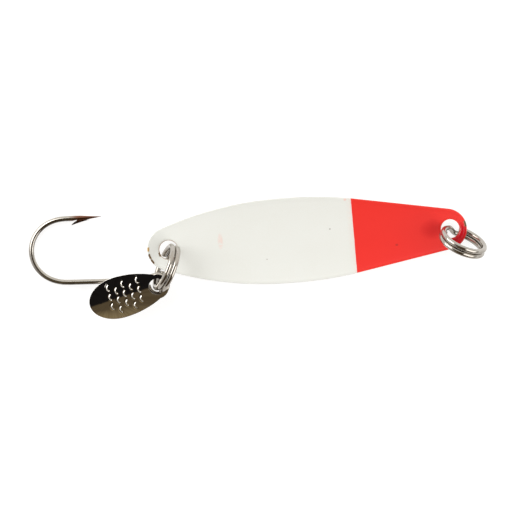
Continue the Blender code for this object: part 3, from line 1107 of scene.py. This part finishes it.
# %% [markdown]
# ## The two rings
# Both rings come from one recipe. Each has its own place and hangs at its own slope, because a
# ring that carries something can't lie flat in its hole. Three axes say how it hangs: one level,
# one up its slope, and one through it.

# %% Rings
RING_WIRE = 0.94
RING_RADIUS = 3.96
RING_PITCH = 0.98


def ring_place(centre, heading, slope):
    level = Vector((math.cos(heading), math.sin(heading), 0.0))
    sideways = Vector((-math.sin(heading), math.cos(heading), 0.0))
    upwards = sideways * math.cos(slope) + Vector((0.0, 0.0, math.sin(slope)))
    axes = Matrix((level, upwards, level.cross(upwards))).transposed().to_4x4()
    return Matrix.Translation(Vector(centre) * MM) @ axes


def make_ring(name, body, node, centre, heading, slope, step_at):
    ring = new_object(name, [], [])
    RING_RECIPE.use(ring, Material=RING_NICKEL, Coil_Radius=RING_RADIUS * MM,
                    Wire_Radius=0.5 * RING_WIRE * MM, Pitch=RING_PITCH * MM,
                    Step_At=math.radians(step_at))
    place = ring_place(centre, math.radians(heading), math.radians(slope))
    finish_piece(ring, body, node, RING_NICKEL, place)
    # painted shade on the south side of the ring
    mark_shaded_side(ring, strength=0.55)


make_ring("head_ring_wire", "head_ring", "head_split_ring", (27.70, -2.50, 4.50), -29.0, 112.7, 228.0)
make_ring("tail_ring_wire", "tail_ring", "tail_split_ring", (-25.42, -3.35, 4.50), -114.3, 77.2, 262.0)

# %% [markdown]
# ## The hook: eye and shank
# A hook is one wire, so it is swept along one path, which begins at the eye's cut end. The path
# goes round the eye, leaves it where a straight line touches it, and runs down the shank. It is
# drawn flat, with the eye's centre at nought and the shank along X.

# %% Eye and shank
HOOK_EYE_RADIUS = 1.72
HOOK_EYE_TURN = math.radians(286.0)
HOOK_EYE_STEPS = 64
HOOK_NECK = 3.4                  # where the neck meets the shank
HOOK_LENGTH = 22.6
HOOK_BEND_DEPTH = 6.6
SHANK_END = HOOK_LENGTH - HOOK_BEND_DEPTH
SHANK_Y = -0.80


def line_points(start, end, first, last, steps):
    """The points with these numbers on a line that is cut into equal steps."""
    start, end = Vector(start), Vector(end)
    return [start.lerp(end, k / steps) for k in range(first, last + 1)]


leaves_eye = math.atan2(SHANK_Y, HOOK_NECK) - math.acos(HOOK_EYE_RADIUS / math.hypot(HOOK_NECK, SHANK_Y))
eye_angles = evenly(leaves_eye - HOOK_EYE_TURN, leaves_eye, HOOK_EYE_STEPS)
hook_path = [Vector((math.cos(angle), math.sin(angle))) * HOOK_EYE_RADIUS for angle in eye_angles]
hook_path += line_points(hook_path[-1], (HOOK_NECK, SHANK_Y), 1, 5, 6)
hook_path += line_points((HOOK_NECK, SHANK_Y), (SHANK_END, SHANK_Y), 0, 23, 24)
print("eye and shank:", len(hook_path), "points")

# %% [markdown]
# ## The hook: bend and point
# The bend is nearly half a circle, drawn out a little at its bottom. The leg after it is straight,
# and the point drifts outwards by a hair, as a forged point does. At the end the whole path is
# smoothed: each point moves half way to the mean of its neighbours, which takes away the corners
# where two pieces of path meet.

# %% Bend and point
HOOK_GAP = 11.4
HOOK_BEND_FULLNESS = 0.92        # below 1 the bend is fuller than half an ellipse
HOOK_BEND_STEPS = 80
HOOK_LEG_END = 13.7
HOOK_POINT_END = 9.8
HOOK_POINT_DRIFT = 0.22
LEG_Y = SHANK_Y - HOOK_GAP


def smoothed(points, rounds):
    for _ in range(rounds):
        middle = [p.lerp((a + b) / 2.0, 0.5) for a, p, b in zip(points, points[1:], points[2:])]
        points = [points[0], *middle, points[-1]]
    return points


for k in range(HOOK_BEND_STEPS + 1):
    angle = math.pi * k / HOOK_BEND_STEPS
    depth = HOOK_BEND_DEPTH * math.sin(angle) ** HOOK_BEND_FULLNESS
    hook_path.append(Vector((SHANK_END + depth, SHANK_Y - 0.5 * HOOK_GAP * (1.0 - math.cos(angle)))))
hook_path += line_points((SHANK_END, LEG_Y), (HOOK_LEG_END, LEG_Y), 1, 4, 5)
hook_path += line_points((HOOK_LEG_END, LEG_Y), (HOOK_POINT_END, LEG_Y - HOOK_POINT_DRIFT), 0, 24, 24)
hook_path = smoothed(hook_path, 3)
print("whole hook:", len(hook_path), "points")

# %% [markdown]
# ## Sweeping the wire
# A circle of points is laid round each point of the path, square to it, and circles that follow
# each other are joined by faces. The wire is full everywhere but in two places: its cut end is
# slightly rounded, and the point tapers to a needle.

# %% Hook wire
HOOK_WIRE = 0.95
HOOK_SIDES = 28
CUT_END_POINTS = 3
CUT_END_LOSS = 0.14
NEEDLE_LOSS = 0.97
UP = Vector((0.0, 0.0, 1.0))


def wire_radius(index, point):
    """Half the wire's thickness at a point of the path."""
    radius = 0.5 * HOOK_WIRE
    if index < CUT_END_POINTS:
        radius *= 1.0 - CUT_END_LOSS * (1.0 - index / CUT_END_POINTS)
    if index > len(hook_path) // 2 and point.x < HOOK_LEG_END:
        share = (HOOK_LEG_END - point.x) / (HOOK_LEG_END - HOOK_POINT_END)
        radius *= max(1.0 - NEEDLE_LOSS * share, 1.0 - NEEDLE_LOSS)
    return radius


def wire_circle(index):
    point = hook_path[index].to_3d()
    ahead = hook_path[min(index + 1, len(hook_path) - 1)]
    behind = hook_path[max(index - 1, 0)]
    side = UP.cross((ahead - behind).to_3d().normalized())
    angles = [2.0 * math.pi * k / HOOK_SIDES for k in range(HOOK_SIDES)]
    return [point + wire_radius(index, point) * (math.cos(a) * side + math.sin(a) * UP) for a in angles]


circles = [wire_circle(index) for index in range(len(hook_path))]
rows = [list(range(first, first + HOOK_SIDES)) for first in range(0, HOOK_SIDES * len(circles), HOOK_SIDES)]
hook_faces = [(near[k], near[(k + 1) % HOOK_SIDES], far[(k + 1) % HOOK_SIDES], far[k])
              for near, far in zip(rows, rows[1:]) for k in range(HOOK_SIDES)]
hook_faces += [tuple(rows[0]), tuple(rows[-1])]
hook = new_object("hook_wire", [point for circle in circles for point in circle], hook_faces)
face_outwards(hook.data)
print("hook wire:", len(hook.data.polygons), "faces")

# %% [markdown]
# ## The barb's two tools
# The barb isn't an added piece on the real hook: a chisel lifts a sliver out of the wire and leaves
# a notch behind it. Both are drawn as outlines and cut from thick plate. The sliver goes out along
# its curved back to the tip, and home along its inside.

# %% Barb tools
BARB_BACK = 15.3                 # where the barb's tip is, along the hook
BARB_LENGTH = 3.4
BARB_RISE = 1.25
BARB_ROOT = 1.15


def plate(name, outline, half_thickness):
    size = len(outline)
    verts = [(x, y, z) for z in (-half_thickness, half_thickness) for x, y in outline]
    faces = [tuple(range(size)), tuple(range(2 * size - 1, size - 1, -1))]
    faces += [(k, (k + 1) % size, size + (k + 1) % size, size + k) for k in range(size)]
    tool = new_object(name, verts, faces)
    face_outwards(tool.data)
    tool.hide_render = True
    return tool


back = [(BARB_BACK - BARB_LENGTH * (1.0 - share), LEG_Y + 0.30 + (BARB_RISE - 0.30) * share ** 1.25)
        for share in evenly(0.0, 1.0, 8)]
inside = [(BARB_BACK - BARB_ROOT * share, LEG_Y + BARB_RISE - (BARB_RISE - 0.25) * share ** 0.8)
          for share in evenly(0.0, 1.0, 6)[1:]]
sliver = plate("barb_sliver", back + inside, 0.20)
notch = plate("barb_notch", ((BARB_BACK + 0.5, LEG_Y + 0.62), (BARB_BACK - 1.05, LEG_Y + 0.27),
                             (BARB_BACK - 1.10, LEG_Y + 0.33), (BARB_BACK - 0.05, LEG_Y + 1.0)), 0.6)
print("sliver of", len(back + inside), "corners, notch of", len(notch.data.vertices) // 2)

# %% [markdown]
# ## Cutting the barb
# Boolean modifiers do what the chisel does, in the same order: the sliver is joined on, and the
# notch is cut behind it. After that the tools are put away.

# %% Barb
for tool, operation in ((sliver, "UNION"), (notch, "DIFFERENCE")):
    cut = hook.modifiers.new(tool.name, "BOOLEAN")
    cut.operation = operation
    cut.solver = "EXACT"
    cut.object = tool
bake_modifiers(hook)
for tool in (sliver, notch):
    bpy.data.objects.remove(tool, do_unlink=True)
print("hook with barb:", len(hook.data.polygons), "faces")

# %% [markdown]
# ## Hanging the hook
# The hook was drawn flat. `place_of` takes it to where it hangs: its Z goes along the joint's axis,
# its X points where the piece points, and its nought lands on the joint. The steel has the same
# plating as the rings, and a bronze tint on the point, where the plating has worn through.

# %% Hook in place
HOOK_HEADING = math.radians(177.4)


def place_of(joint, heading):
    normal = Vector(JOINTS[joint]["axis"]).normalized()
    flat = Vector((math.cos(heading), math.sin(heading), 0.0))
    along = (flat - normal * flat.dot(normal)).normalized()
    turn = Matrix((along, normal.cross(along), normal)).transposed().to_4x4()
    return Matrix.Translation(joint_place(joint) * MM) @ turn


HOOK_STEEL = make_wire_finish("hook_steel", bright=(0.56, 0.53, 0.48), dull=(0.34, 0.30, 0.25),
                              shade_colour=(0.065, 0.052, 0.045), smooth=0.05, rough=0.18,
                              tint=((0.22, 0.100, 0.062), (-38.2, 6.6), (4.3, 2.4)))
finish_piece(hook, "hook", "hook", HOOK_STEEL, place_of("hook_swing", HOOK_HEADING))
# painted shade on the south side of the hook
mark_shaded_side(hook, strength=0.95)

# %% [markdown]
# ## The spinner's outline
# The small blade is egg-shaped: a round eye at the hole, a swell to the widest place, and a long
# half ellipse round the far end.

# %% Spinner outline
SPINNER_LENGTH = 14.7
SPINNER_HALF_WIDTH = 3.69
SPINNER_EYE_RADIUS = 2.15
SPINNER_WIDEST = 7.0
SPINNER_SWELL = 0.85


def spinner_half_width(x):
    far_end = SPINNER_LENGTH - SPINNER_EYE_RADIUS
    if x <= -SPINNER_EYE_RADIUS or x >= far_end:
        return 0.0
    if x <= 0.0:
        return half_circle(x, SPINNER_EYE_RADIUS)
    if x <= SPINNER_WIDEST:
        swell = math.sin(0.5 * math.pi * (x / SPINNER_WIDEST) ** SPINNER_SWELL)
        return SPINNER_EYE_RADIUS + (SPINNER_HALF_WIDTH - SPINNER_EYE_RADIUS) * swell
    ratio = (x - SPINNER_WIDEST) / (far_end - SPINNER_WIDEST)
    return SPINNER_HALF_WIDTH * math.sqrt(max(1.0 - ratio ** 2, 0.0))


print("spinner half width at its widest:", round(spinner_half_width(SPINNER_WIDEST), 2))

# %% [markdown]
# ## Struck marks: where they stand
# Punched marks cover the middle of the real blade's face. Plain crescents in staggered rows, like
# fish scales, stand here. They are real dents, made by a node tree. Its first half lays a small
# grid of points out, shifts every second column by half a row, and puts a crescent on each point.

# %% Punch layout
PUNCH_COLUMNS = 5
PUNCH_ROWS = 3
CRESCENT_HALF_ANGLE = math.radians(62.0)
CRESCENT_POINTS = 20

punch = Recipe("punch_marks", True, {"Mark Radius": 0.0005, "Row Gap": 0.001, "Column Gap": 0.0016,
                                     "Start": 0.0026, "Groove": 0.0001, "Depth": 0.00006})
column_gap, row_gap = punch.given("Column Gap"), punch.given("Row Gap")
grid = punch.node("GeometryNodeMeshGrid", Size_X=column_gap * (PUNCH_COLUMNS - 1.0),
                  Size_Y=row_gap * (PUNCH_ROWS - 1.0), Vertices_X=PUNCH_COLUMNS, Vertices_Y=PUNCH_ROWS)
point_x, point_y, _ = punch.parts(punch.node("GeometryNodeInputPosition"))
half_count = 0.5 * (PUNCH_COLUMNS - 1.0)
column = (point_x / column_gap + half_count).maths("ROUND")
shift = (column.maths("MODULO", 2.0) - 0.5) * row_gap * 0.5
spread = punch.node("GeometryNodeSetPosition", Geometry=grid,
                    Offset=punch.joined(punch.given("Start") + column_gap * half_count, shift))
crescent = punch.node("GeometryNodeCurveArc", settings={"mode": "RADIUS"}, Resolution=CRESCENT_POINTS,
                      Radius=punch.given("Mark Radius"), Start_Angle=-CRESCENT_HALF_ANGLE,
                      Sweep_Angle=2.0 * CRESCENT_HALF_ANGLE)
marks = punch.node("GeometryNodeInstanceOnPoints", Points=spread, Instance=crescent)
print(PUNCH_COLUMNS * PUNCH_ROWS, "marks laid out")

# %% [markdown]
# ## Struck marks: how deep they are
# The second half measures how far each point of the sheet is from the nearest crescent. Within the
# groove's width it pushes the metal down, and just outside it raises a small lip, as a punch does.

# %% Punch depth
LIP_PLACE = 1.9                  # in groove widths from the middle of the mark
LIP_SLOPE = 1.8
LIP_SHARE = 0.30

lines = punch.node("GeometryNodeCurveToMesh",
                   Curve=punch.node("GeometryNodeRealizeInstances", Geometry=marks))
near = punch.node("GeometryNodeProximity", output="Distance", settings={"target_element": "EDGES"},
                  Geometry=lines, Sample_Position=punch.joined(point_x, point_y))
share = near / punch.given("Groove")
groove = (-(share * share)).maths("EXPONENT")
past_lip = share - LIP_PLACE
lip = (past_lip * past_lip * -LIP_SLOPE).maths("EXPONENT")
sink = (lip * LIP_SHARE - groove) * punch.given("Depth")
punch.finish(punch.node("GeometryNodeSetPosition", Geometry=punch.given("Geometry"),
                        Offset=punch.joined(z=sink)))

# %% [markdown]
# ## Dark mirror: the polish
# The spinner was polished on a soft wheel that left fine lines fanning out from the middle of the
# dome, and years in a tackle box added some scratches. A Mapping node first turns the place into
# the piece's own flat drawing. The angle round the middle is then stretched into noise.

# %% Polish lines
POLISH_CENTRE = 8.5
SPINNER_HEADING = math.radians(191.6)

spinner_place = place_of("spinner_swing", SPINNER_HEADING)
to_flat = spinner_place.inverted()
mirror = Finish("spinner_mirror", Metallic=1.0)
own_place = mirror.node("ShaderNodeMapping", settings={"vector_type": "POINT"}, Vector=mirror.place(),
                        Location=to_flat.to_translation(), Rotation=to_flat.to_euler())
flat_x, flat_y, _ = mirror.parts(own_place)
flat_x = flat_x - POLISH_CENTRE * MM
round_middle = flat_y.maths("ARCTAN2", flat_x)
from_middle = (flat_x * flat_x + flat_y * flat_y).maths("SQRT")
away = from_middle.above(2.2 * MM, 1.4 * MM)
fan = mirror.texture(mirror.joined(round_middle * 26.0, from_middle * 90.0), 4.0, roughness=0.65)
broad_fan = mirror.texture(mirror.joined(round_middle * 6.0, from_middle * 40.0, 3.0), 1.0)
print("polish lines:", len(mirror.tree.nodes), "nodes")

# %% [markdown]
# ## Dark mirror: scratches and shader
# Scratches are noise drawn out very long and thin. Everything stays small, so that the two flat
# tones of the surroundings still read as a mirror image.

# %% Mirror on the shader
BRIGHT_MIRROR = (0.72, 0.70, 0.66)
WARM_MIRROR = (0.47, 0.43, 0.37)

smear = mirror.noise(mirror.place(), 2.4, detail=4.0)
scratch = mirror.texture(mirror.joined(flat_x * 60.0, (flat_y + flat_x * 0.6) * 2600.0), 2.0)
scratched = ((scratch - 0.66) * 9.0).clamped() * smear
streaks = ((fan - 0.45) * 1.3 + (broad_fan - 0.48) * 1.8) * away
warmth = (0.25 + streaks + (smear - 0.5) * 0.5).clamped()
mirror.feed(
    Base_Color=mirror.mix(warmth, BRIGHT_MIRROR, WARM_MIRROR),
    Roughness=0.014 + fan * 0.030 + smear * 0.020 + scratched * 0.20,
    Normal=mirror.bump(fan * 0.8 * away + scratched * 0.6, 0.002, 0.25),
)
print("mirror uses", len(mirror.tree.nodes), "nodes")

# %% [markdown]
# ## The spinner's sheet
# The sheet is laid out finely, because the marks are small, and struck while it is flat. Then it
# is domed: each point sinks with the square of its distance from the middle line, and a little
# along it. Last, it is thickened and hung beside the hook.

# %% Spinner sheet
SPINNER_THICKNESS = 0.45
SPINNER_HOLE_RADIUS = 1.46
SPINNER_COLUMNS = 112
SPINNER_STATIONS = 124
SPINNER_GRID = (2.1, 9.6)
HOLE_FAN = ((0.0, 0.0), SPINNER_HOLE_RADIUS, True)
FAR_FAN = ((SPINNER_GRID[1] + 0.9, 0.0), 0.25, False)
SPINNER_CUP_RADIUS = 28.0
SPINNER_BEND_SHARE = 0.12

spinner = make_blank("spinner_sheet", spinner_half_width, evenly(*SPINNER_GRID, SPINNER_STATIONS),
                     SPINNER_COLUMNS, (HOLE_FAN, FAR_FAN), outline_steps=96, rows=14)
punch.use(spinner, Material=mirror.material, Mark_Radius=0.56 * MM, Row_Gap=1.70 * MM,
          Column_Gap=1.35 * MM, Start=2.9 * MM, Groove=0.085 * MM, Depth=0.055 * MM)
bake_modifiers(spinner)
for vertex in spinner.data.vertices:
    along = max(vertex.co.x / MM - SPINNER_EYE_RADIUS, 0.0)
    across = vertex.co.y / MM
    drop = (SPINNER_BEND_SHARE * along ** 2 + across ** 2) / (2.0 * SPINNER_CUP_RADIUS)
    vertex.co.z -= drop * MM
thicken(spinner, SPINNER_THICKNESS, edge_radius=0.11, edge_angle=60.0)
finish_piece(spinner, "spinner", "spinner_blade", mirror.material, spinner_place,
             sharp_angle=75.0)

# %% [markdown]
